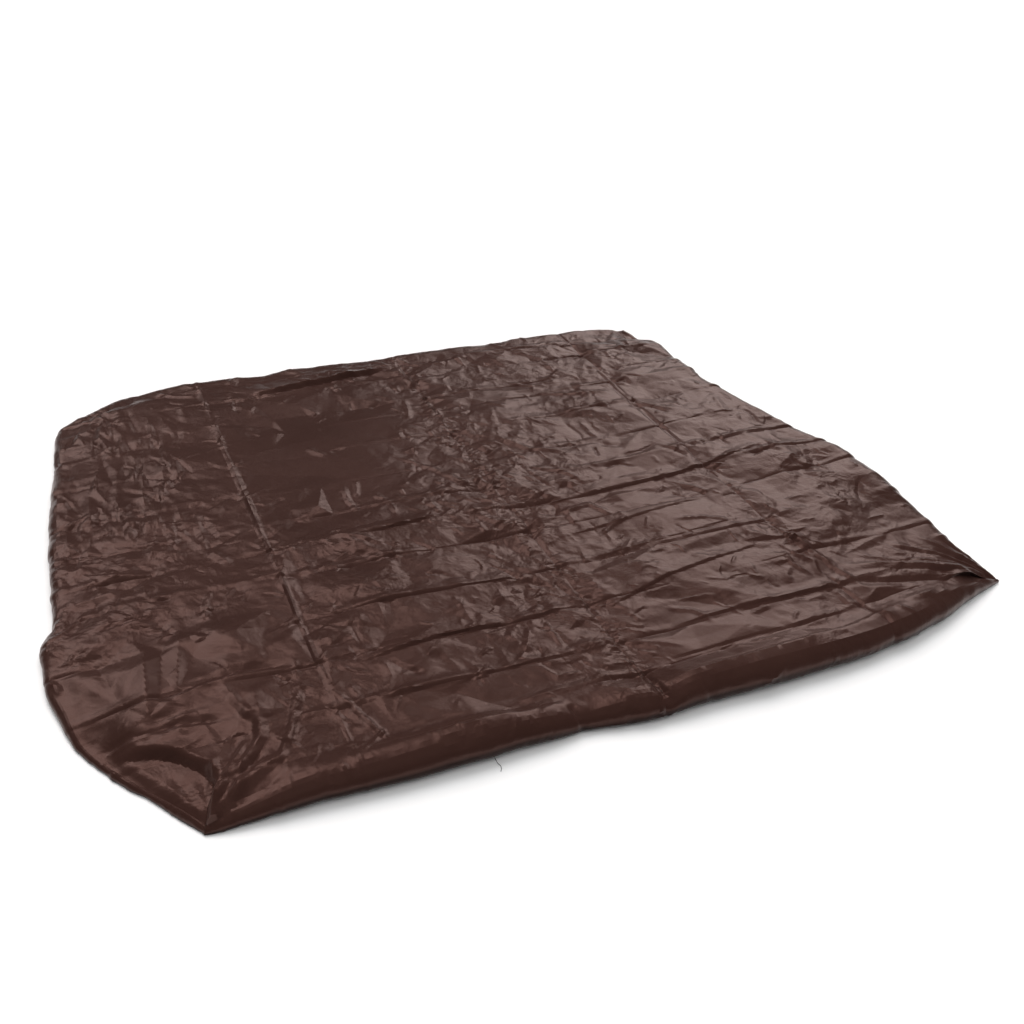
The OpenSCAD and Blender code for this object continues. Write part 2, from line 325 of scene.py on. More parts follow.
def net(places, heights, edges=()):
    """Flat triangles between places at given heights, read on the raster."""
    points_2d = [Vector(p) for p in places]
    corners, _, triangles, origin, _, _ = delaunay_2d_cdt(points_2d, list(edges), [], 0, 1e-7)
    corners = np.array([tuple(c) for c in corners])
    heights = np.array([heights[o[0]] if o else 0.0 for o in origin])
    out = np.zeros_like(GX)
    for t in triangles:
        a, b, c = corners[t[0]], corners[t[1]], corners[t[2]]
        low, high = np.minimum(np.minimum(a, b), c), np.maximum(np.maximum(a, b), c)
        part = window(low[0], low[1], high[0], high[1])
        area = (b[0] - a[0]) * (c[1] - a[1]) - (b[1] - a[1]) * (c[0] - a[0])
        if part is None or abs(area) < 1e-12:
            continue
        qx, qy = GX[part] - a[0], GY[part] - a[1]
        wb = (qx * (c[1] - a[1]) - qy * (c[0] - a[0])) / area
        wc = ((b[0] - a[0]) * qy - (b[1] - a[1]) * qx) / area
        inside = (wb >= -1e-9) & (wc >= -1e-9) & (wb + wc <= 1 + 1e-9)
        z = heights[t[0]] * (1 - wb - wc) + heights[t[1]] * wb + heights[t[2]] * wc
        out[part][inside] = z[inside]
    return out


def scattered_net(spacing, height, seed, stretch=1.0):
    """Small flat facets at random; the creased parts have the taller ones."""
    local = np.random.default_rng(seed)
    nx, ny = int(2 * RX / (spacing * stretch)), int(2 * RY / spacing)
    px, py = np.meshgrid(np.linspace(-RX, RX, nx), np.linspace(-RY, RY, ny))
    jitter = local.uniform(-0.45, 0.45, (nx * ny, 2)) * spacing
    places = np.stack([px.ravel(), py.ravel()], 1) + jitter
    heights = local.normal(0, height, len(places)) * creased(places[:, 0], places[:, 1])
    return net(places, heights)


def band_net():
    """The large flat facets: their corners lie on the pack folds, with a few between them."""
    local = np.random.default_rng(5)
    places, heights, edges = [], [], []
    crossings = {}
    lines = [(-1, lambda x: fold_y(0, x) - 0.15)]
    lines += [(k, lambda x, k=k: fold_y(k, x)) for k in range(len(FOLD_Y))]
    lines += [(len(FOLD_Y), lambda x: fold_y(len(FOLD_Y) - 1, x) + 0.15)]
    for k, line in lines:
        xs = [-RX]
        while xs[-1] < RX:
            xs.append(xs[-1] + local.uniform(0.05, 0.17))
        xs = sorted([x for x in xs if min(abs(x - f) for f in FOLD_X) > 0.02] + list(FOLD_X))
        before = None
        for x in xs:
            turn = 1 if sum(x > f for f in FOLD_X) % 2 == 0 else -1
            height = (-1) ** k * turn * 0.002 + local.normal(0, 0.003)
            places.append((x, float(line(x)) + local.normal(0, 0.0015)))
            heights.append(height * folded(x, line(x)))
            if before is not None:
                edges.append((before, len(places) - 1))
            before = len(places) - 1
            if x in FOLD_X:
                crossings.setdefault(x, []).append(before)
    for chain in crossings.values():
        edges += list(zip(chain[:-1], chain[1:]))
    for k in range(len(lines) - 1):
        x = -1.4
        while x < 1.4:
            x += local.uniform(0.07, 0.22)
            t = local.uniform(0.25, 0.75)
            y = float(lines[k][1](x)) * (1 - t) + float(lines[k + 1][1](x)) * t
            if min(abs(x - f) for f in FOLD_X) > 0.02:
                places.append((x, y))
                heights.append(local.normal(0.0012, 0.0036))
    return net(places, heights, edges)


def fold_grooves():
    """A sharp groove or ridge along every pack fold, strong in places and faint in others."""
    for k in range(len(FOLD_Y)):
        d = GY - fold_y(k, GX) - 0.0022 * wave(GX, 0.09, 400 + k)
        depth = 0.0018 * np.clip(0.5 + 0.9 * wave(GX, 0.16, 500 + k), -0.4, 1.3)
        depth = depth * folded(GX, GY)
        relief[:] -= depth * np.clip(1 - np.abs(d) / 0.006, 0, None)
        step = 0.0026 * (0.5 + wave(GX, 0.2, 550 + k)) * folded(GX, GY)
        relief[:] += step * np.clip(1 - np.abs(d - 0.012) / 0.016, 0, None)
    for k, x in enumerate(FOLD_X):
        d = np.abs(GX - x - 0.002 * wave(GY, 0.1, 600 + k))
        side = (1, -1, -1)[k]
        depth = side * 0.003 * (0.65 + 0.5 * wave(GY, 0.1, 700 + k))
        relief[:] += depth * np.clip(1 - d / 0.007, 0, None)
        relief[:] += side * 0.002 * np.clip(1 - d / 0.06, 0, None)


def band_triangles():
    """Triangular facets that start on a fold and run out across the band."""
    for k in range(len(FOLD_Y)):
        for _ in range(22):
            x = rng.uniform(-1.2, 1.2)
            y = float(fold_y(k, x))
            if rng.uniform() > float(creased(x, y)) + 0.2:
                continue
            angle = rng.choice([-1, 1]) * math.pi / 2 + rng.normal(0, 0.5)
            height = rng.choice([-1, 1]) * rng.uniform(0.0016, 0.0044)
            dent(x, y, angle, rng.uniform(0.04, 0.12), rng.uniform(0.004, 0.012),
                 rng.uniform(0.01, 0.05), rng.uniform(0.01, 0.05), height)


def star(x, y, size, count, height):
    """Creases that run out from one point."""
    start = rng.uniform(0, 2 * math.pi)
    for n in range(count):
        angle = start + 2 * math.pi * n / count + rng.normal(0, 0.2)
        dent(x + rng.normal(0, 0.003), y + rng.normal(0, 0.003), angle, size * rng.uniform(0.5, 1.2), 0.005,
             size * rng.uniform(0.08, 0.2), size * rng.uniform(0.08, 0.2),
             rng.choice([-1, 1]) * height * rng.uniform(0.6, 1.2))


def fold_stars():
    """Small star creases where two folds cross."""
    for x in FOLD_X:
        for k in range(len(FOLD_Y)):
            star(x, float(fold_y(k, x)), rng.uniform(0.05, 0.1), rng.integers(5, 8), 0.0018)


def seam_puckers():
    """Short ripples that cross the middle seam."""
    y = -1.15
    while y < 1.15:
        angle = rng.choice([0, math.pi]) + rng.normal(0, 0.45)
        dent(SEAM_X + rng.normal(0, 0.01), y, angle, rng.uniform(0.02, 0.09), rng.uniform(0.004, 0.012),
             rng.uniform(0.0045, 0.01), rng.uniform(0.0045, 0.01), rng.uniform(0.0008, 0.0028))
        y += rng.uniform(0.005, 0.017)


def loose_creases(count, length, width, height):
    """Short sharp creases at any angle, most of them in the creased parts."""
    for _ in range(count):
        x, y = rng.uniform(-1.25, 1.25), rng.uniform(-1.05, 1.05)
        if rng.uniform() > float(creased(x, y)):
            continue
        angle = rng.uniform(0, math.pi)
        reach = rng.uniform(*length) / 2
        bend = angle + rng.normal(0, 0.35)
        first = (x - reach * math.cos(angle), y - reach * math.sin(angle))
        last = (x + reach * math.cos(bend), y + reach * math.sin(bend))
        ridge([first, (x, y), last], rng.choice([-1, 1, 1]) * rng.uniform(*height),
              rng.uniform(*width), rng.uniform(*width))


def side_wrinkles():
    """Upright soft wrinkles near the left edge, as the skirt pulls there."""
    for _ in range(70):
        x, y = rng.uniform(-1.08, -0.72), rng.uniform(-0.05, 0.65)
        dent(x, y, math.pi / 2 + rng.normal(0, 0.2), rng.uniform(0.04, 0.13), rng.uniform(0.03, 0.08),
             rng.uniform(0.008, 0.028), rng.uniform(0.008, 0.028),
             rng.choice([-1, 1]) * rng.uniform(0.0024, 0.006))


def fan(x, y, first, last, count, length, height):
    """Folds that spread from a corner."""
    for n in range(count):
        angle = math.radians(first + (last - first) * (n + 0.5) / count + rng.normal(0, 2.5))
        reach = rng.uniform(*length)
        end = (x + reach * math.cos(angle), y + reach * math.sin(angle))
        rise = (-1) ** n * rng.uniform(*height)
        ridge([(x, y), end], rise, rng.uniform(0.01, 0.022), rng.uniform(0.01, 0.022))


# The large folds that give the laid cover its look: places along each, height and the two side widths.
MAIN_RIDGES = [
    ([(-0.748, -0.65), (-0.765, -0.74), (-0.815, -0.8), (-0.845, -0.885)], 0.009, 0.018, 0.014),
    ([(-0.64, -0.59), (-0.665, -0.64), (-0.705, -0.745), (-0.755, -0.835)], 0.007, 0.014, 0.012),
    ([(-0.6, -0.2), (-0.6, -0.35), (-0.6, -0.5), (-0.6, -0.64)], 0.0045, 0.011, 0.006),
    ([(-0.594, -0.65), (-0.57, -0.71), (-0.54, -0.8), (-0.512, -0.87)], 0.0045, 0.01, 0.009),
    ([(-0.6, -0.865), (-0.555, -0.825), (-0.52, -0.79)], 0.0035, 0.009, 0.008),
    ([(-1.07, -0.64), (-0.9, -0.646), (-0.79, -0.662)], -0.0045, 0.018, 0.01),
    ([(-1.0, -0.556), (-0.88, -0.556), (-0.76, -0.53), (-0.64, -0.545)], -0.006, 0.022, 0.01),
    ([(0.05, -0.6), (0.18, -0.56), (0.3, -0.525), (0.62, -0.472)], 0.0045, 0.042, 0.006),
    ([(0.2, -0.7), (0.4, -0.692), (0.75, -0.7)], 0.004, 0.036, 0.006),
    ([(0.1, -0.8), (0.35, -0.798), (0.65, -0.79)], 0.003, 0.04, 0.008),
    ([(0.09, -0.868), (0.35, -0.864), (0.6, -0.848), (0.8, -0.81)], -0.01, 0.055, 0.014),
    ([(0.12, -0.905), (0.45, -0.906), (0.7, -0.886), (0.86, -0.852)], 0.0035, 0.009, 0.008),
    ([(-0.56, -0.84), (-0.35, -0.845), (-0.12, -0.842)], -0.006, 0.04, 0.014),
    ([(-0.54, -0.712), (-0.3, -0.706), (0.03, -0.716)], 0.003, 0.034, 0.006),
    ([(-0.55, -0.405), (-0.3, -0.398), (0.0, -0.402)], 0.004, 0.036, 0.006),
    ([(-0.56, -0.236), (-0.35, -0.23), (-0.1, -0.232)], 0.0028, 0.03, 0.006),
    ([(-0.42, -0.118), (-0.3, -0.112), (-0.13, -0.09)], 0.006, 0.034, 0.006),
    ([(0.1, -0.285), (0.3, -0.262), (0.64, -0.215)], 0.0034, 0.03, 0.006),
    ([(0.12, -0.395), (0.35, -0.38), (0.64, -0.35)], 0.003, 0.03, 0.006),
    ([(-0.54, -0.588), (-0.3, -0.556), (-0.15, -0.562), (0.04, -0.555)], 0.007, 0.04, 0.006),
    ([(-0.6, 0.37), (-0.6, 0.15), (-0.6, -0.12)], 0.0045, 0.012, 0.009),
    ([(-0.48, 0.734), (-0.3, 0.752), (-0.15, 0.775), (0.06, 0.815)], 0.015, 0.08, 0.015),
    ([(0.1, -0.125), (0.3, -0.11), (0.6, -0.085), (0.96, -0.018)], 0.0075, 0.046, 0.007),
    ([(0.68, 0.7), (0.662, 0.45), (0.674, 0.2), (0.686, -0.02), (0.7, -0.09)], -0.0036, 0.012, 0.012),
    ([(0.668, -0.4), (0.69, -0.48), (0.705, -0.56), (0.72, -0.66), (0.735, -0.76)], 0.0046, 0.014, 0.012),
    ([(0.72, -0.8), (0.745, -0.84), (0.775, -0.885)], 0.003, 0.01, 0.01),
    ([(1.1, -0.78), (0.98, -0.72), (0.86, -0.672), (0.76, -0.64)], 0.0075, 0.022, 0.016),
    ([(1.09, -0.79), (0.95, -0.77), (0.8, -0.735), (0.7, -0.7)], -0.006, 0.022, 0.018),
    ([(1.08, -0.8), (0.92, -0.82), (0.76, -0.815)], 0.005, 0.018, 0.018),
    ([(0.06, -0.8), (0.058, -0.87), (0.062, -0.93)], -0.008, 0.012, 0.008),
    ([(-0.15, -0.86), (-0.14, -0.9), (-0.13, -0.95)], -0.0065, 0.014, 0.01),
    ([(-0.74, -0.06), (-0.77, 0.02), (-0.82, 0.1)], 0.005, 0.02, 0.014),
    ([(-0.74, -0.06), (-0.735, 0.06), (-0.73, 0.14)], 0.0045, 0.018, 0.012),
    ([(-0.74, -0.06), (-0.7, -0.13)], 0.0055, 0.022, 0.016),
    ([(-0.34, 0.14), (-0.35, 0.06), (-0.34, -0.02)], 0.0035, 0.012, 0.01),
    ([(-0.3, 0.15), (-0.325, 0.06)], 0.0032, 0.012, 0.01),
    ([(-0.44, -0.1), (-0.38, -0.13), (-0.32, -0.18)], 0.0045, 0.018, 0.014),
    ([(-0.9, 0.24), (-0.905, 0.16), (-0.88, 0.09)], 0.005, 0.022, 0.018),
    ([(-0.98, 0.3), (-0.985, 0.18), (-0.99, 0.11)], 0.0042, 0.02, 0.018),
    ([(-0.16, 0.25), (-0.08, 0.15), (-0.02, 0.02)], 0.0038, 0.016, 0.014),
    ([(0.16, 0.26), (0.23, 0.17), (0.33, 0.12)], 0.0045, 0.018, 0.014),
    ([(0.18, 0.08), (0.26, 0.02), (0.3, -0.06)], 0.004, 0.016, 0.012),
    ([(0.15, -0.18), (0.26, -0.16), (0.3, -0.24)], 0.004, 0.014, 0.012),
]
# Large peaks with flat sides: place, angle in degrees, reach ahead, behind and to both sides, and height.
MAIN_PEAKS = [
    (-0.752, -0.665, 85, 0.08, 0.05, 0.04, 0.06, 0.008),
    (-0.235, -0.48, 95, 0.05, 0.06, 0.04, 0.03, 0.006),
    (-0.97, -0.64, 10, 0.12, 0.09, 0.022, 0.022, 0.006),
    (-1.04, -0.17, 5, 0.16, 0.06, 0.04, 0.03, 0.006),
    (-0.905, -0.18, 95, 0.05, 0.05, 0.028, 0.024, 0.006),
    (0.69, -0.5, -80, 0.07, 0.04, 0.05, 0.035, 0.007),
    (0.9, -0.56, 15, 0.08, 0.12, 0.03, 0.03, 0.005),
    (0.35, -0.15, 10, 0.12, 0.08, 0.03, 0.03, 0.006),
    (0.5, 0.08, 40, 0.14, 0.12, 0.07, 0.06, 0.005),
    (0.96, -0.23, 70, 0.07, 0.07, 0.025, 0.03, 0.005),
    (0.23, 0.25, 60, 0.08, 0.06, 0.04, 0.03, 0.005),
    (-0.56, -0.78, 60, 0.06, 0.07, 0.03, 0.04, 0.004),
    (-0.38, -0.62, 30, 0.1, 0.09, 0.035, 0.03, 0.004),
    (0.45, -0.42, 10, 0.16, 0.15, 0.05, 0.04, 0.004),
]


# The big flat-sided tents along the left of the front: place, height, and which places a sharp line joins.
TENTS = [
    (-1.078, -0.43, 0.004), (-1.075, -0.57, 0.003), (-1.032, -0.42, -0.007), (-1.0, -0.553, -0.005),
    (-0.94, -0.408, 0.008), (-0.955, -0.56, 0.007), (-0.902, -0.402, 0.001), (-0.928, -0.57, 0.001),
    (-0.862, -0.392, 0.009), (-0.897, -0.575, 0.007), (-0.812, -0.385, 0.004), (-0.862, -0.49, 0.003),
    (-0.742, -0.405, 0.01), (-0.802, -0.535, 0.007), (-0.69, -0.44, 0.0), (-0.7, -0.52, 0.0),
]
TENT_LINES = [(0, 1), (2, 3), (4, 5), (6, 7), (8, 9), (10, 11), (12, 13)]
flat_edge = [(x, y, 0.0) for x in (-1.16, -1.06, -0.96, -0.86, -0.76, -0.65) for y in (-0.345, -0.612)]


relief += net([t[:2] for t in TENTS + flat_edge], [t[2] for t in TENTS + flat_edge], TENT_LINES)
relief += band_net() + scattered_net(0.05, 0.003, 21, 1.5) + scattered_net(0.024, 0.0014, 22)
fold_grooves()
band_triangles()
fold_stars()
loose_creases(420, (0.06, 0.17), (0.006, 0.02), (0.0016, 0.004))
loose_creases(1500, (0.03, 0.08), (0.004, 0.011), (0.0009, 0.0024))
loose_creases(3200, (0.012, 0.035), (0.003, 0.006), (0.0004, 0.0012))
seam_puckers()
side_wrinkles()
for line, height, side_a, side_b in MAIN_RIDGES:
    ridge(line, height, side_a, side_b)
for x, y, degrees, ahead, behind, side_a, side_b, height in MAIN_PEAKS:
    dent(x, y, math.radians(degrees), ahead, behind, side_a, side_b, height)
for x, y in ((0.68, 0.72), (0.7, -0.1), (0.69, -0.49), (-0.6, -0.115), (-0.78, -0.3)):
    star(x, y, 0.08, 7, 0.0026)
fan(1.14, -0.78, 100, 178, 9, (0.1, 0.3), (0.003, 0.006))
fan(-0.895, -0.885, 25, 120, 9, (0.08, 0.22), (0.004, 0.008))
fan(0.93, 0.93, 190, 265, 8, (0.08, 0.26), (0.002, 0.005))
fan(-0.96, 0.8, 275, 345, 6, (0.08, 0.22), (0.002, 0.005))
swell = 0.006 * cloud(GX, GY, 0.42, 31) + 0.0035 * cloud(GX, GY, 0.19, 32)


def read(values, x, y):
    """Read a raster between its cells."""
    u = np.clip((x + RX) / CELL, 0, len(gx) - 1.001)
    v = np.clip((y + RY) / CELL, 0, len(gy) - 1.001)
    i, j = u.astype(int), v.astype(int)
    f, g = u - i, v - j
    near = values[j, i] * (1 - f) + values[j, i + 1] * f
    far = values[j + 1, i] * (1 - f) + values[j + 1, i + 1] * f
    return near * (1 - g) + far * g


# ---------------------------------------------------------------- the cloth's points
# The top's height in the middle, and how many cells it takes to come down to the edge.
CROWN = 0.05
EDGE_CELLS = 22
w_row = 1 - smooth(np.minimum(np.arange(NY + 1), NY - np.arange(NY + 1)) / EDGE_CELLS)[:, None]
w_col = 1 - smooth(np.minimum(np.arange(NX + 1), NX - np.arange(NX + 1)) / EDGE_CELLS)[None, :]
h_front, h_back = edge_h[: NX + 1], edge_h[NX + NY : 2 * NX + NY + 1][::-1]
h_right = edge_h[NX : NX + NY + 1]
h_left = np.concatenate([edge_h[2 * NX + NY :], edge_h[:1]])[::-1]
h_row = np.where(np.arange(NY + 1)[:, None] < NY / 2, h_front[None, :], h_back[None, :])
h_col = np.where(np.arange(NX + 1)[None, :] < NX / 2, h_left[:, None], h_right[:, None])
w_all = 1 - (1 - w_row) * (1 - w_col)
h_edge = (w_row * h_row + w_col * h_col) / np.maximum(w_row + w_col, 1e-9)
Z = (CROWN + read(swell, X, Y)) * (1 - w_all) + h_edge * w_all
Z = Z + read(relief, X, Y)

# At the front left the top's edge lies as a soft lip over a flat flap of skirt that slopes to the floor.
FLAP_FROM = np.array([-1.094, -0.611])
FLAP_TO = np.array([-0.905, -0.898])
FLAP_LIP = [
    (0, 0), (0.035, 0.002), (0.07, 0.01), (0.118, 0.036), (0.15, 0.064), (0.195, 0.078), (0.25, 0.085),
    (0.292, 0.074), (0.344, 0),
]
flap_run = (FLAP_TO - FLAP_FROM) / np.linalg.norm(FLAP_TO - FLAP_FROM)
along_flap = (X - FLAP_FROM[0]) * flap_run[0] + (Y - FLAP_FROM[1]) * flap_run[1]
into_flap = (Y - FLAP_FROM[1]) * flap_run[0] - (X - FLAP_FROM[0]) * flap_run[1]
lip_at = np.interp(along_flap, [p[0] for p in FLAP_LIP], [p[1] for p in FLAP_LIP])
lip_at = lip_at + 0.003 * wave(along_flap, 0.045, 61) * (lip_at > 0.01)
flap_z = 0.011 + 0.009 * smooth(into_flap / 0.03) + 0.06 * np.clip(into_flap, 0, None)
flap_z = flap_z + 0.45 * read(relief, X, Y)
near_flap = smooth(np.minimum(along_flap - 0.06, 0.374 - along_flap) / 0.06)
near_flap = near_flap * smooth((0.17 - into_flap) / 0.06)
lip_z = np.interp(along_flap, [0.06, 0.13, 0.3], [0.032, 0.048, 0.052])
lip_z = lip_z + 0.8 * read(relief, X, Y) + 0.003 * wave(along_flap, 0.05, 62)
lip_w = np.interp(along_flap, [0.0, 0.08, 0.15, 0.3], [0.06, 0.045, 0.024, 0.02])
over = np.clip((into_flap - lip_at) / lip_w, 0, 1)
folded = flap_z + (lip_z - flap_z) * smooth(over) ** 0.7
Z = Z + (folded - Z) * near_flap
Z = np.maximum(Z, 0.004)
top = np.stack([X, Y, Z], 2)

# The rolled edge and the tucked skirt, as rings outside the top's own edge.
ROLL_RINGS = 14
TUCK_RINGS = 6
ARC_SHARE = 0.62
# How far the skirt reaches in under the cover, by the distance round the edge from the front left corner.
TUCK_ROUND = 7.75
tuck_points = [
    (0, 0.03), (0.2, 0.2), (0.55, 0.27), (2.05, 0.28), (2.35, 0.22), (2.75, 0.14), (3.7, 0.12), (4.05, 0.24),
    (4.4, 0.25), (5.95, 0.26), (6.3, 0.18), (6.6, 0.13), (7.25, 0.1), (7.45, 0.02), (TUCK_ROUND, 0.03),
]
total = edge_s[-1] + np.linalg.norm(rim[0, :2] - rim[-1, :2])
scale = total / TUCK_ROUND
tuck = np.interp(edge_s, [s * scale for s, _ in tuck_points], [d for _, d in tuck_points])
tuck = around(tuck[:, None], 14)[:, 0]
middle_way = -rim[:, :2] / np.linalg.norm(rim[:, :2], axis=1, keepdims=True)
gather = 2 * math.pi * edge_s / 0.036 + 1.3 * wave(edge_s, 0.05, 41)
rings = []
for k in range(1, ROLL_RINGS + 1):
    a = math.pi / 2 - math.pi * k / ROLL_RINGS
    inset = reach_in * (1 - math.cos(a))
    arc = edge_h * ARC_SHARE * (math.pi / 2 - a)
    flat = rim[:, :2] + inward * reach_in[:, None] - inward * arc[:, None]
    bump = read(relief, flat[:, 0], flat[:, 1])
    fade = smooth(np.array((math.sin(a) + 1) / 0.5))
    lean = bump * fade * (1 - 0.25 * float(smooth(k / 5)))
    place = rim[:, :2] + inward * inset[:, None] - inward * (math.cos(a) * lean)[:, None]
    z = edge_h / 2 * (1 + math.sin(a)) + math.sin(a) * lean
    rings.append(np.column_stack([place, np.maximum(z, 0.0008)]))
foot = rim[:, :2] + inward * reach_in[:, None]
hem = rim[:, :2] + middle_way * np.maximum(tuck, reach_in * 0.2)[:, None]
for k in range(1, TUCK_RINGS + 1):
    s = k / TUCK_RINGS
    place = foot * (1 - s) + hem * s
    ruffle = 0.0035 * s ** 2 * (1 + np.sin(gather)) + 0.002 * s * (1 + wave(edge_s, 0.09, 42))
    rings.append(np.column_stack([place, 0.001 + ruffle]))

# One list of points: the top row by row, then the rings outward.
points = np.concatenate([top.reshape(-1, 3), *rings])
top_index = np.arange((NX + 1) * (NY + 1)).reshape(NY + 1, NX + 1)
ring_index = [top_index[edge_rc[:, 0], edge_rc[:, 1]]]
for k in range(len(rings)):
    ring_index.append(top_index.size + k * EDGE + np.arange(EDGE))
ring_index = np.array(ring_index)


def quads_of(index, closed):
    """Faces between neighbouring lines of points."""
    a, b = index[:-1], index[1:]
    if closed:
        a2, b2 = np.roll(a, -1, 1), np.roll(b, -1, 1)
    else:
        a, a2, b, b2 = a[:, :-1], a[:, 1:], b[:, :-1], b[:, 1:]
    return np.stack([a, a2, b2, b], -1).reshape(-1, 4)


def split(quads):
    """Two triangles for each face, divided along the diagonal that follows the creases best."""
    a, b, c, d = (points[quads[:, k]] for k in range(4))
    middle = (a + b + c + d) / 4
    wanted = read(relief, middle[:, 0], middle[:, 1])
    level = [read(relief, p[:, 0], p[:, 1]) for p in (a, b, c, d)]
    along_ac = np.abs(level[0] + level[2] - 2 * wanted) <= np.abs(level[1] + level[3] - 2 * wanted)
    first = np.where(along_ac[:, None], quads[:, [0, 1, 2]], quads[:, [0, 1, 3]])
    second = np.where(along_ac[:, None], quads[:, [0, 2, 3]], quads[:, [1, 2, 3]])
    return np.stack([first, second], 1).reshape(-1, 3)


top_faces = split(quads_of(top_index, False))
skirt_faces = split(quads_of(ring_index, True)[:, ::-1])
faces = np.concatenate([top_faces, skirt_faces])
a, b, c = (points[faces[:, k]] for k in range(3))
face_normals = np.cross(b - a, c - a)
normals = np.zeros_like(points)
for k in range(3):
    np.add.at(normals, faces[:, k], face_normals)
normals /= np.maximum(np.linalg.norm(normals, axis=1, keepdims=True), 1e-12)

# The left width has the top's faces left of the seam, and the skirt between the two seam columns.
top_left = (np.arange(len(top_faces)) // 2 % NX) < SEAM_COLUMN
ring_place = np.tile(np.repeat(np.arange(EDGE), 2), len(rings))
front_seam, back_seam = SEAM_COLUMN, NX + NY + (NX - SEAM_COLUMN)
skirt_left = (ring_place < front_seam) | (ring_place >= back_seam)
is_left = np.concatenate([top_left, skirt_left])


def crease_edges(mesh, least):
    """Keep the shading sharp along edges that turn by more than an angle, a wider one on the roll."""
    count = len(mesh.polygons)
    normal = np.empty(count * 3, np.float32)
    mesh.polygons.foreach_get("normal", normal)
    normal = normal.reshape(-1, 3)
    loop_edge = np.empty(len(mesh.loops), np.int32)
    mesh.loops.foreach_get("edge_index", loop_edge)
    owner = np.repeat(np.arange(count), len(mesh.loops) // count)
    order = np.argsort(loop_edge, kind="stable")
    edge, face = loop_edge[order], owner[order]
    pair = np.nonzero(edge[1:] == edge[:-1])[0]
    turn = (normal[face[pair]] * normal[face[pair + 1]]).sum(axis=1)
    sharp = np.zeros(len(mesh.edges), bool)
    limit = np.where(normal[face[pair], 2] > 0.93, math.cos(math.radians(least)), math.cos(math.radians(30)))
    sharp[edge[pair][turn < limit]] = True
    mesh.attributes.new("sharp_edge", "BOOLEAN", "EDGE").data.foreach_set("value", sharp)


def new_mesh(name, verts, polygons, smooth_faces=True, least=None):
    """An object with the points that its faces use; least is the angle that makes a sharp crease."""
    mesh = bpy.data.meshes.new(name)
    used, flat = np.unique(np.asarray(polygons).ravel(), return_inverse=True)
    polygons = flat.reshape(np.asarray(polygons).shape)
    verts = np.asarray(verts)[used]
    mesh.vertices.add(len(verts))
    mesh.vertices.foreach_set("co", verts.astype(np.float32).ravel())
    sides = polygons.shape[1]
    mesh.loops.add(polygons.size)
    mesh.loops.foreach_set("vertex_index", polygons.astype(np.int32).ravel())
    mesh.polygons.add(len(polygons))
    mesh.polygons.foreach_set("loop_start", np.arange(0, polygons.size, sides, dtype=np.int32))
    mesh.polygons.foreach_set("use_smooth", np.full(len(polygons), smooth_faces))
    mesh.update(calc_edges=True)
    mesh.validate()
    if least:
        crease_edges(mesh, least)
    obj = bpy.data.objects.new(name, mesh)
    bpy.context.scene.collection.objects.link(obj)
    return obj


# ---------------------------------------------------------------- materials
def material(name, colour, roughness):
    """A material, its node tree and its shader."""
    m = bpy.data.materials.new(name)
    m.use_nodes = True
    shader = m.node_tree.nodes["Principled BSDF"]
    shader.inputs["Base Color"].default_value = (*colour, 1)
    shader.inputs["Roughness"].default_value = roughness
    shader.inputs["Specular IOR Level"].default_value = 0.2
    return m, m.node_tree, shader


def node(tree, kind, **settings):
    """A shader node with its inputs and settings filled in."""
    n = tree.nodes.new(kind)
    for key, value in settings.items():
        if key in n.inputs:
            n.inputs[key].default_value = value
        else:
            setattr(n, key, value)
    return n


def texture(tree, place, kind, **settings):
    """A texture node that follows the piece."""
    n = node(tree, kind, **settings)
    tree.links.new(place, n.inputs["Vector"])
    return n


def bump_node(tree, height, before=None, strength=None, **settings):
    """A bump from a height, on top of the bump before it; strength may come from another node."""
    n = node(tree, "ShaderNodeBump", **settings)
    tree.links.new(height, n.inputs["Height"])
    if before:
        tree.links.new(before.outputs["Normal"], n.inputs["Normal"])
    if strength:
        tree.links.new(strength, n.inputs["Strength"])
    return n


def rescaled(tree, value, low, high):
    """A value from 0 to 1, spread from low to high."""
    n = node(tree, "ShaderNodeMapRange")
    n.inputs["To Min"].default_value = low
    n.inputs["To Max"].default_value = high
    tree.links.new(value, n.inputs["Value"])
    return n.outputs["Result"]


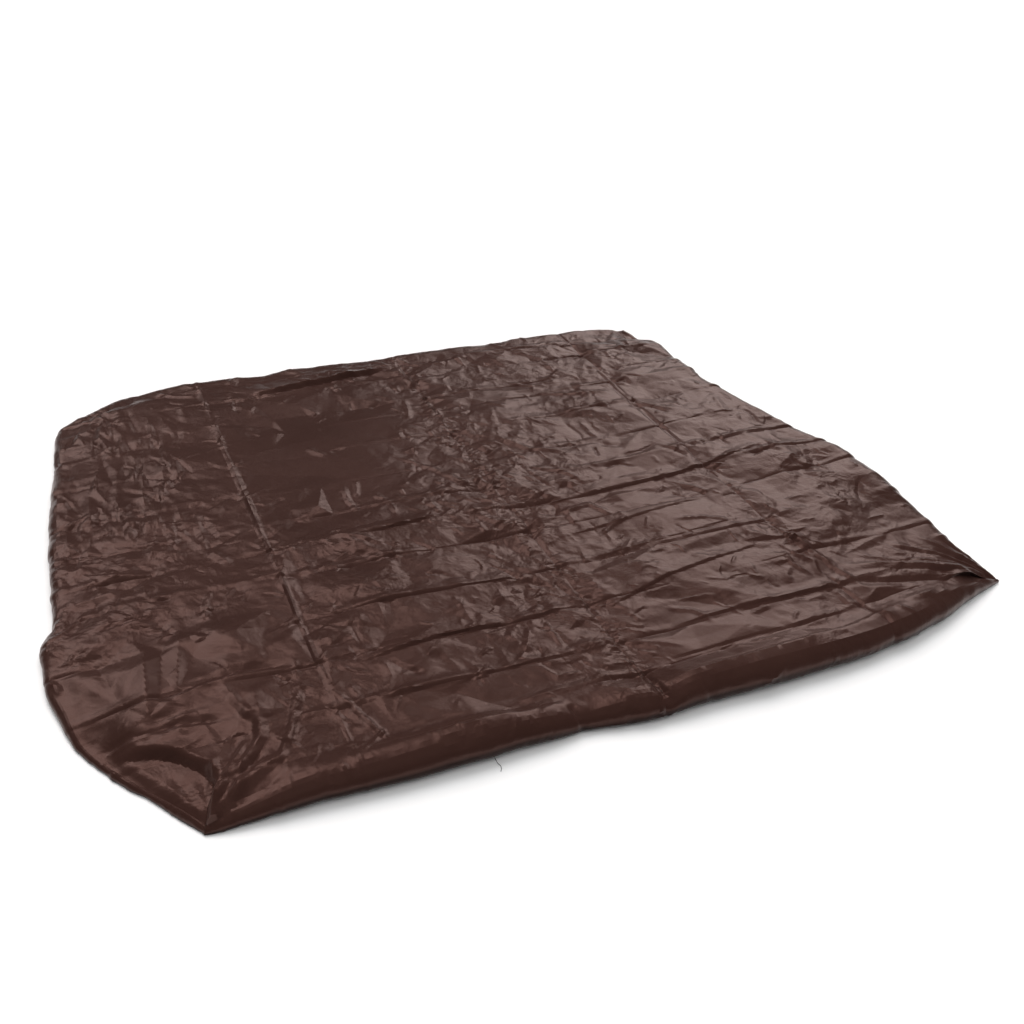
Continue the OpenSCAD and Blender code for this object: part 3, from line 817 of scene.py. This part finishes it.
def coated_cloth():
    """Thin coated taffeta: brown, with a broad soft gloss, small creases and a fine weave, plus painted shade
    and a weaker gloss where the roll turns under.
    """
    m, tree, shader = material("coated_taffeta", (0.052, 0.029, 0.024), 0.36)
    link = tree.links.new
    place = node(tree, "ShaderNodeTexCoord").outputs["Object"]
    shader.inputs["Sheen Weight"].default_value = 0.045
    shader.inputs["Sheen Roughness"].default_value = 0.45
    shader.inputs["Sheen Tint"].default_value = (0.90, 0.50, 0.42, 1)
    shader.inputs["Specular Tint"].default_value = (1.0, 0.60, 0.52, 1)
    tone = texture(tree, place, "ShaderNodeTexNoise", Scale=3.1, Detail=4.0, Roughness=0.55)
    ramp = node(tree, "ShaderNodeValToRGB")
    ramp.color_ramp.elements[0].position = 0.30
    ramp.color_ramp.elements[0].color = (0.029, 0.0126, 0.0098, 1)
    ramp.color_ramp.elements[1].position = 0.72
    ramp.color_ramp.elements[1].color = (0.038, 0.0172, 0.0136, 1)
    link(tone.outputs["Fac"], ramp.inputs["Fac"])
    # Painted shade: where the roll turns under (the under attribute) the base colour is mixed towards near
    # black and the gloss is cut, standing in for shade and for a hidden floor reflection.
    under = node(tree, "ShaderNodeAttribute", attribute_name="under").outputs["Fac"]
    shaded = node(tree, "ShaderNodeMixRGB", blend_type="MIX", Color2=(0.011, 0.0052, 0.0044, 1))
    link(under, shaded.inputs["Fac"])
    link(ramp.outputs["Color"], shaded.inputs["Color1"])
    link(shaded.outputs["Color"], shader.inputs["Base Color"])
    link(rescaled(tree, under, 0.42, 0.05), shader.inputs["Specular IOR Level"])
    link(rescaled(tree, tone.outputs["Fac"], 0.26, 0.34), shader.inputs["Roughness"])

    busy = node(tree, "ShaderNodeAttribute", attribute_name="creased").outputs["Fac"]
    strength = rescaled(tree, busy, 0.05, 0.50)
    creases = texture(tree, place, "ShaderNodeTexNoise", noise_type="RIDGED_MULTIFRACTAL", Scale=16.0,
                      Detail=5.0, Roughness=0.55, Lacunarity=2.1, Distortion=0.4)
    first = bump_node(tree, creases.outputs["Fac"], strength=strength, Distance=0.0026)
    warp = texture(tree, place, "ShaderNodeTexNoise", Scale=9.0, Detail=2.0)
    bent = node(tree, "ShaderNodeMixRGB", blend_type="LINEAR_LIGHT", Fac=0.06)
    link(place, bent.inputs["Color1"])
    link(warp.outputs["Color"], bent.inputs["Color2"])
    facets = texture(tree, bent.outputs["Color"], "ShaderNodeTexVoronoi", Scale=15.0, Detail=2.0,
                     Roughness=0.6, Lacunarity=2.4)
    flats = bump_node(tree, facets.outputs["Distance"], first, strength, Distance=0.0034)
    ripple = texture(tree, place, "ShaderNodeTexNoise", Scale=55.0, Detail=5.0, Roughness=0.6)
    second = bump_node(tree, ripple.outputs["Fac"], flats, Strength=0.14, Distance=0.0014)
    both = node(tree, "ShaderNodeMath", operation="ADD")
    for slot, way in enumerate("XY"):
        weave = texture(tree, place, "ShaderNodeTexWave", bands_direction=way, Scale=420.0, Distortion=0.4)
        link(weave.outputs["Fac"], both.inputs[slot])
    third = bump_node(tree, both.outputs["Value"], second, Strength=0.10, Distance=0.0002)
    link(third.outputs["Normal"], shader.inputs["Normal"])
    return m


def woven(name, colour, roughness, scale):
    """A plain woven tape or braid."""
    m, tree, shader = material(name, colour, roughness)
    link = tree.links.new
    place = node(tree, "ShaderNodeTexCoord").outputs["Object"]
    weave = texture(tree, place, "ShaderNodeTexWave", wave_type="BANDS", bands_direction="DIAGONAL",
                    Scale=scale, Distortion=1.2, Detail=2.0)
    tone = texture(tree, place, "ShaderNodeTexNoise", Scale=60.0, Detail=3.0)
    ramp = node(tree, "ShaderNodeValToRGB")
    ramp.color_ramp.elements[0].color = (*[0.75 * c for c in colour], 1)
    ramp.color_ramp.elements[1].color = (*[1.3 * c for c in colour], 1)
    link(tone.outputs["Fac"], ramp.inputs["Fac"])
    link(ramp.outputs["Color"], shader.inputs["Base Color"])
    threads = bump_node(tree, weave.outputs["Fac"], Strength=0.5, Distance=0.0005)
    link(threads.outputs["Normal"], shader.inputs["Normal"])
    return m


CLOTH = coated_cloth()
TAPE = woven("seam_tape_weave", (0.03, 0.019, 0.016), 0.62, 300.0)
THREAD = woven("sewing_thread", (0.026, 0.016, 0.013), 0.5, 900.0)
ELASTIC = woven("elastic_braid", (0.01, 0.009, 0.008), 0.55, 500.0)


def finish_piece(obj, mat, slot, *nodes):
    """Give a piece its material, hang it under the body's empty and hide the CAD nodes it replaces."""
    obj.data.materials.append(mat)
    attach(obj, BODY)
    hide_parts(*nodes)
    return obj


def note_places(obj):
    """Store how creased each place is, and how far the roll turns it under, where the material paints shade
    and weakens the gloss.
    """
    place = np.empty(len(obj.data.vertices) * 3, np.float32)
    facing = place.copy()
    obj.data.vertices.foreach_get("co", place)
    obj.data.vertex_normals.foreach_get("vector", facing)
    place, facing = place.reshape(-1, 3), facing.reshape(-1, 3)
    # under is 1 where the normal points down on the roll; it drives the painted shade on the underside.
    values = {"creased": creased(place[:, 0], place[:, 1]), "under": smooth((0.42 - facing[:, 2]) / 0.5)}
    for name, value in values.items():
        obj.data.attributes.new(name, "FLOAT", "POINT").data.foreach_set("value", value.astype(np.float32))


CREASE_ANGLE = 9
left_cloth = new_mesh("left_cloth_panel", points, faces[is_left], least=CREASE_ANGLE)
right_cloth = new_mesh("right_cloth_panel", points, faces[~is_left], least=CREASE_ANGLE)
note_places(left_cloth)
note_places(right_cloth)
finish_piece(left_cloth, CLOTH, "coated_cloth", "left_cloth")
finish_piece(right_cloth, CLOTH, "coated_cloth", "right_cloth")

# ---------------------------------------------------------------- seams
ring_pos = points[ring_index]


def ring_line(place, first, last):
    """Point numbers on the skirt at one place of the edge, from ring first to ring last."""
    return ring_index[first : last + 1, place % EDGE]


def seam_columns(shift):
    """Point numbers from the front hem over the top to the back hem, beside the middle seam."""
    front_part = ring_line(front_seam + shift, 1, len(rings))[::-1]
    back_part = ring_line(back_seam - shift, 1, len(rings))
    return np.concatenate([front_part, top_index[:, SEAM_COLUMN + shift], back_part])


def strip_piece(name, lines, low, high):
    """A thin tape under the cloth: lines of point numbers side by side, between two depths."""
    lines = np.array(lines)
    upper = points[lines] - normals[lines] * low
    lower = points[lines] - normals[lines] * high
    loop = np.concatenate([upper, lower[::-1]])
    count, length = loop.shape[:2]
    index = np.arange(count * length).reshape(count, length)
    sides = quads_of(np.concatenate([index, index[:1]]), False)
    half = count // 2
    caps = []
    for end in (0, length - 1):
        for n in range(half - 1):
            quad = [index[n, end], index[n + 1, end], index[count - 2 - n, end], index[count - 1 - n, end]]
            caps.append(quad if end else quad[::-1])
    return new_mesh(name, loop.reshape(-1, 3), np.concatenate([sides, caps]))


# The tapes' two faces, as depths under the cloth, and how far the corner seams run in over the top.
TAPE_TOP, TAPE_LOW = 0.0004, 0.0009
CORNER_CELLS = 20
tape = strip_piece("centre_seam_tape_strip", [seam_columns(k) for k in (-2, -1, 0, 1, 2)], TAPE_TOP, TAPE_LOW)
finish_piece(tape, TAPE, "seam_tape", "centre_seam_tape")


def corner_lines(name, shift):
    """Point numbers of a line along a corner seam, from the top over the rolled edge."""
    place = CORNERS[name]
    down = ring_line(place + shift, 0, ROLL_RINGS + 4)
    row, column = edge_rc[place]
    step_r = 1 if row == 0 else -1
    step_c = 1 if column == 0 else -1
    diagonal = [top_index[row + step_r * n, column + step_c * n] for n in range(CORNER_CELLS, 0, -1)]
    if shift:
        sign = 1 if name in ("front_left", "back_right") else -1
        turn = shift * sign
        diagonal = [
            top_index[row + step_r * (n + max(0, -turn)), column + step_c * (n + max(0, turn))]
            for n in range(CORNER_CELLS, 0, -1)
        ]
    return np.concatenate([diagonal, down])


for corner in CORNERS:
    strip = strip_piece(f"corner_tape_{corner}_strip", [corner_lines(corner, k) for k in (-1, 0, 1)],
                        TAPE_TOP, TAPE_LOW)
    finish_piece(strip, TAPE, "seam_tape", f"corner_tape_{corner}")


def stitches(name, runs, offset, pitch=0.0045, length=0.0034, thick=0.0007):
    """Rows of separate stitches. Each run is a line of places, its normals and a sideways shift."""
    verts, polys = [], []
    outline = [(0.5, 0.25), (0.36, 1.0), (-0.36, 1.0), (-0.5, 0.25)]
    for line, nor, side in runs:
        seg = np.linalg.norm(np.diff(line, axis=0), axis=1)
        s = np.concatenate([[0], np.cumsum(seg)])
        at = np.arange(pitch, s[-1] - pitch, pitch)
        place = np.stack([np.interp(at, s, line[:, k]) for k in range(3)], 1)
        ahead = np.stack([np.interp(at + 0.001, s, line[:, k]) for k in range(3)], 1) - place
        up = np.stack([np.interp(at, s, nor[:, k]) for k in range(3)], 1)
        ahead /= np.maximum(np.linalg.norm(ahead, axis=1, keepdims=True), 1e-9)
        up /= np.maximum(np.linalg.norm(up, axis=1, keepdims=True), 1e-9)
        across = np.cross(up, ahead)
        place = place + across * side + up * offset
        for p, t, u, w in zip(place, ahead, up, across):
            base = len(verts)
            for along, rise in outline:
                for across_by in (-0.5, 0.5):
                    size = 1.0 if rise > 0.5 else 0.6
                    verts.append(p + t * along * length + w * across_by * thick * size
                                 + u * (rise - 0.5) * thick)
            for a, b in ((0, 2), (2, 4), (4, 6), (6, 0)):
                polys.append([base + a, base + a + 1, base + b + 1, base + b])
            polys.append([base, base + 2, base + 4, base + 6])
            polys.append([base + 7, base + 5, base + 3, base + 1])
    return new_mesh(name, verts, polys, False)


seam_line = seam_columns(0)[TUCK_RINGS:-TUCK_RINGS]
rows_of_stitches = [(points[seam_line], normals[seam_line], side) for side in (-0.004, 0.004)]
thread = stitches("centre_seam_stitch_rows", rows_of_stitches, 0.0003)
finish_piece(thread, THREAD, "thread", "centre_seam_stitching")
corner_runs = []
for corner in CORNERS:
    line = corner_lines(corner, 0)[: CORNER_CELLS + ROLL_RINGS]
    corner_runs.append((points[line], normals[line], 0.0))
thread = stitches("corner_stitch_rows", corner_runs, 0.0003)
finish_piece(thread, THREAD, "thread", "corner_stitching")

# ---------------------------------------------------------------- hem casing and elastic
hem_pos = ring_pos[-1]
hem_run = np.roll(hem_pos, -1, 0) - np.roll(hem_pos, 1, 0)
hem_run[:, 2] = 0
hem_run = around(hem_run / np.linalg.norm(hem_run, axis=1, keepdims=True), 3)
hem_run /= np.linalg.norm(hem_run, axis=1, keepdims=True)
hem_side = np.column_stack([-hem_run[:, 1], hem_run[:, 0], np.zeros(EDGE)])
CASING_W = 0.024
CASING_H = 0.0055
CORD_R = 0.0017
KNOT_R = 0.0016
KNOT_PLACE = int(np.argmin(np.linalg.norm(rim[:, :2] - np.array([-1.094, -0.618]), axis=1)))
KNOT_GAP = 5


def casing_ring(place):
    """The casing's section at one place: a soft tube round the elastic, flat where it is sewn."""
    p, side = hem_pos[place], hem_side[place]
    swell_h = CASING_H * (0.75 + 0.25 * math.sin(gather[place] + 1.0))
    section = [
        (-0.1, 0.1), (0.12, 0.18), (0.3, 0.62), (0.55, 0.95), (0.8, 0.8), (0.97, 0.35),
        (1.0, 0.02), (0.8, -0.4), (0.5, -0.42), (0.2, -0.12), (-0.1, -0.02),
    ]
    out = []
    for u, v in section:
        q = p + side * (u * CASING_W)
        out.append([q[0], q[1], max(p[2] + 0.0004 + v * swell_h, 0.0003)])
    return out


def casing_piece(name, first, last):
    """One length of the casing, between two places of the hem."""
    loops = np.array([casing_ring(k % EDGE) for k in range(first, last + 1)])
    count, around_count = loops.shape[:2]
    index = np.arange(count * around_count).reshape(count, around_count)
    closed = np.concatenate([index, index[:, :1]], 1)
    body = quads_of(closed, False)
    return new_mesh(name, loops.reshape(-1, 3), body)


lengths = {
    "front": (KNOT_PLACE - EDGE + KNOT_GAP, CORNERS["front_right"] - 1),
    "right": (CORNERS["front_right"], CORNERS["back_right"] - 1),
    "back": (CORNERS["back_right"], CORNERS["back_left"] - 1),
    "left": (CORNERS["back_left"], KNOT_PLACE - KNOT_GAP),
}
for side, (first, last) in lengths.items():
    casing = casing_piece(f"hem_casing_{side}_tube", first, last)
    finish_piece(casing, TAPE, "seam_tape", f"hem_casing_{side}")


def tube(path, radius, closed=False, sides=8):
    """A round cord along a path; radius is one number or one per point."""
    path = np.asarray(path, float)
    radius = np.broadcast_to(radius, len(path))
    ahead = np.roll(path, -1, 0) - np.roll(path, 1, 0)
    if not closed:
        ahead[0], ahead[-1] = path[1] - path[0], path[-1] - path[-2]
    ahead /= np.linalg.norm(ahead, axis=1, keepdims=True)
    up = np.array([0, 0, 1.0])
    loops = []
    for p, t, r in zip(path, ahead, radius):
        up = up - t * np.dot(up, t)
        up /= np.linalg.norm(up)
        side = np.cross(t, up)
        ring = [p + r * (math.cos(a) * up + math.sin(a) * side)
                for a in np.linspace(0, 2 * math.pi, sides, endpoint=False)]
        loops.append(ring)
    index = np.arange(len(path) * sides).reshape(len(path), sides)
    if closed:
        index = np.concatenate([index, index[:1]])
    return np.array(loops).reshape(-1, 3), quads_of(np.concatenate([index, index[:, :1]], 1), False)


centre = hem_pos + hem_side * CASING_W * 0.6
centre[:, 2] = hem_pos[:, 2] + CASING_H * 0.28 + 0.0012
cord_path = [centre[k % EDGE] for k in range(KNOT_PLACE - EDGE + 1, KNOT_PLACE)]
verts, polys = tube(cord_path, CORD_R)
finish_piece(new_mesh("elastic_cord_run", verts, polys), ELASTIC, "elastic", "elastic_cord")


def knot_piece():
    """The knot, and the little loop of spare elastic that sticks out of the hem."""
    home = centre[KNOT_PLACE].copy()
    out = -hem_side[KNOT_PLACE]
    along = hem_run[KNOT_PLACE]
    up = np.array([0, 0, 1.0])
    home[2] = 0.0062
    t = np.linspace(0, 2 * math.pi, 72, endpoint=False)
    a, b, c = np.sin(t) + 2 * np.sin(2 * t), np.cos(t) - 2 * np.cos(2 * t), np.sin(3 * t)
    knot = home + 0.0019 * (a[:, None] * along + b[:, None] * out) + 0.0023 * c[:, None] * up
    parts = [tube(knot, KNOT_R, closed=True)]
    t = np.linspace(-2.75, 2.75, 40)
    reach, width = 0.0135, 0.0072
    loop = home + out * (reach + 0.01 + reach * 0.62 * np.cos(t))[:, None]
    loop = loop + along * (width * np.sin(t))[:, None]
    loop = loop + up * (-0.0018 + 0.003 * np.sin(t * 0.5 + 0.6))[:, None]
    start = home + along * -0.002
    end = home + along * 0.002
    lead_in = np.linspace(start, loop[0], 8)[:-1]
    lead_out = np.linspace(loop[-1], end, 8)[1:]
    parts.append(tube(np.concatenate([lead_in, loop, lead_out]), KNOT_R))
    verts, polys, base = [], [], 0
    for v, q in parts:
        verts.append(v)
        polys.append(q + base)
        base += len(v)
    return new_mesh("elastic_knot_and_loop", np.concatenate(verts), np.concatenate(polys))


finish_piece(knot_piece(), ELASTIC, "elastic", "elastic_knot")
sewn = hem_pos + hem_side * 0.001
sewn[:, 2] += 0.0018
sewn_runs = []
for first, last in lengths.values():
    pick = [k % EDGE for k in range(first, last + 1)]
    sewn_runs.append((sewn[pick], np.tile([0, 0, 1.0], (len(pick), 1)), 0.0))
thread = stitches("hem_stitch_row", sewn_runs, 0.0003, pitch=0.006, length=0.0044)
finish_piece(thread, THREAD, "thread", "hem_stitching")

tail = [(-0.33, -0.905, 0.0012), (-0.33, -0.92, 0.0008), (-0.327, -0.93, 0.0008), (-0.329, -0.938, 0.0008),
        (-0.333, -0.944, 0.001)]
verts, polys = tube(tail, 0.0006)
finish_piece(new_mesh("loose_thread_end", verts, polys), THREAD, "thread", "hem_stitching")

# ---------------------------------------------------------------- stage, light and camera
# The floor's half width.
FLOOR = 30
floor_corners = [(-FLOOR, -FLOOR, 0), (FLOOR, -FLOOR, 0), (FLOOR, FLOOR, 0), (-FLOOR, FLOOR, 0)]
stage = new_mesh("floor", floor_corners, [[0, 1, 2, 3]], False)
paper, _, _ = material("white_paper", (0.93, 0.93, 0.93), 0.9)
stage.data.materials.append(paper)


def sun(name, azimuth, elevation, strength, angle, colour=(1, 1, 1), gloss=True):
    """A broad soft light from an azimuth (clockwise from +Y) and an elevation."""
    data = bpy.data.lights.new(name, "SUN")
    data.color = colour
    data.energy = strength
    data.angle = math.radians(angle)
    obj = bpy.data.objects.new(name, data)
    a, e = math.radians(azimuth), math.radians(elevation)
    source = Vector((math.sin(a) * math.cos(e), math.cos(a) * math.cos(e), math.sin(e)))
    obj.rotation_euler = (-source).to_track_quat("-Z", "Y").to_euler()
    obj.visible_glossy = gloss
    bpy.context.scene.collection.objects.link(obj)


WARM = (1.0, 0.88, 0.84)
sun("key", 5, 74, 0.75, 30, gloss=False)
sun("fill", 176, 56, 0.95, 40, gloss=False)
sun("front", 4, 59, 0.34, 18, WARM)
sun("left", -18, 42, 0.5, 26, WARM)
sun("back", 38, 26, 0.4, 25, WARM)
sun("top", 10, 80, 1.5, 90, gloss=False)
world = bpy.data.worlds.new("studio")
world.use_nodes = True
world.node_tree.nodes["Background"].inputs["Color"].default_value = (1, 1, 1, 1)
world.node_tree.nodes["Background"].inputs["Strength"].default_value = 0.04
bpy.context.scene.world = world
bpy.context.scene.view_settings.view_transform = "Standard"

CAMERA_AT = (-1.033, -2.37, 1.62)
LENS, SENSOR = 38.88, 36
YAW, PITCH, ROLL = (math.radians(v) for v in (-25.7, 32.33, 3.82))
camera_data = bpy.data.cameras.new("camera")
camera_data.sensor_width = SENSOR
camera_data.lens = LENS
camera = bpy.data.objects.new("camera", camera_data)
tilt = Matrix.Rotation(math.pi / 2 - PITCH, 4, "X")
turn = Matrix.Rotation(YAW, 4, "Z") @ tilt @ Matrix.Rotation(ROLL, 4, "Z")
camera.matrix_world = Matrix.Translation(CAMERA_AT) @ turn
bpy.context.scene.collection.objects.link(camera)
bpy.context.scene.camera = camera
